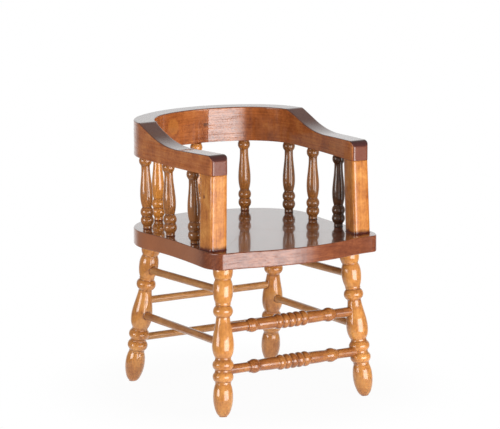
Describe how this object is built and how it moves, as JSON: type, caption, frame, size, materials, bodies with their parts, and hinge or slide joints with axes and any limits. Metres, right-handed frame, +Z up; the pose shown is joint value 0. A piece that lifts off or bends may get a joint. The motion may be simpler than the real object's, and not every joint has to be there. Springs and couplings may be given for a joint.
{
  "type": "captains chair",
  "caption": "Low-backed wooden captains armchair with a D-shaped seat, turned legs, spindles and front rungs, and a bowed arm and back rail.",
  "frame": {"origin": "on the floor, under the middle of the chair's overall length and width", "axes": "+Z up, the chair faces -Y, +X to the right of someone who looks at its front"},
  "size_m": [0.538, 0.612, 0.74],
  "materials": {
    "seat_wood": "thick gloss varnish over stained hardwood",
    "leg_wood": "thick gloss varnish over stained hardwood",
    "turned_rung_wood": "thick gloss varnish over stained hardwood",
    "rung_wood": "thick gloss varnish over stained hardwood",
    "spindle_wood": "thick gloss varnish over stained hardwood",
    "post_wood": "thick gloss varnish over stained hardwood",
    "bow_wood": "thick gloss varnish over stained hardwood",
    "dowel_wood": "bare dry hardwood"
  },
  "bodies": {
    "root": {"seat": "seat_wood", "leg_front_left": "leg_wood", "leg_rear_left": "leg_wood", "side_rung_upper_left": "rung_wood", "side_rung_lower_left": "rung_wood", "arm_left": "bow_wood", "post_left": "post_wood", "spindle_back_left": "spindle_wood", "spindle_left_front": "spindle_wood", "spindle_left_middle": "spindle_wood", "spindle_left_rear": "spindle_wood", "leg_front_right": "leg_wood", "leg_rear_right": "leg_wood", "side_rung_upper_right": "rung_wood", "side_rung_lower_right": "rung_wood", "arm_right": "bow_wood", "post_right": "post_wood", "spindle_back_right": "spindle_wood", "spindle_right_front": "spindle_wood", "spindle_right_middle": "spindle_wood", "spindle_right_rear": "spindle_wood", "spindle_back_centre": "spindle_wood", "crest_rail": "bow_wood", "front_rung_upper": "turned_rung_wood", "back_rung_upper": "rung_wood", "front_rung_lower": "turned_rung_wood", "back_rung_lower": "rung_wood", "post_dowels": "dowel_wood", "rail_dowels": "dowel_wood"}
  },
  "joints": []
}
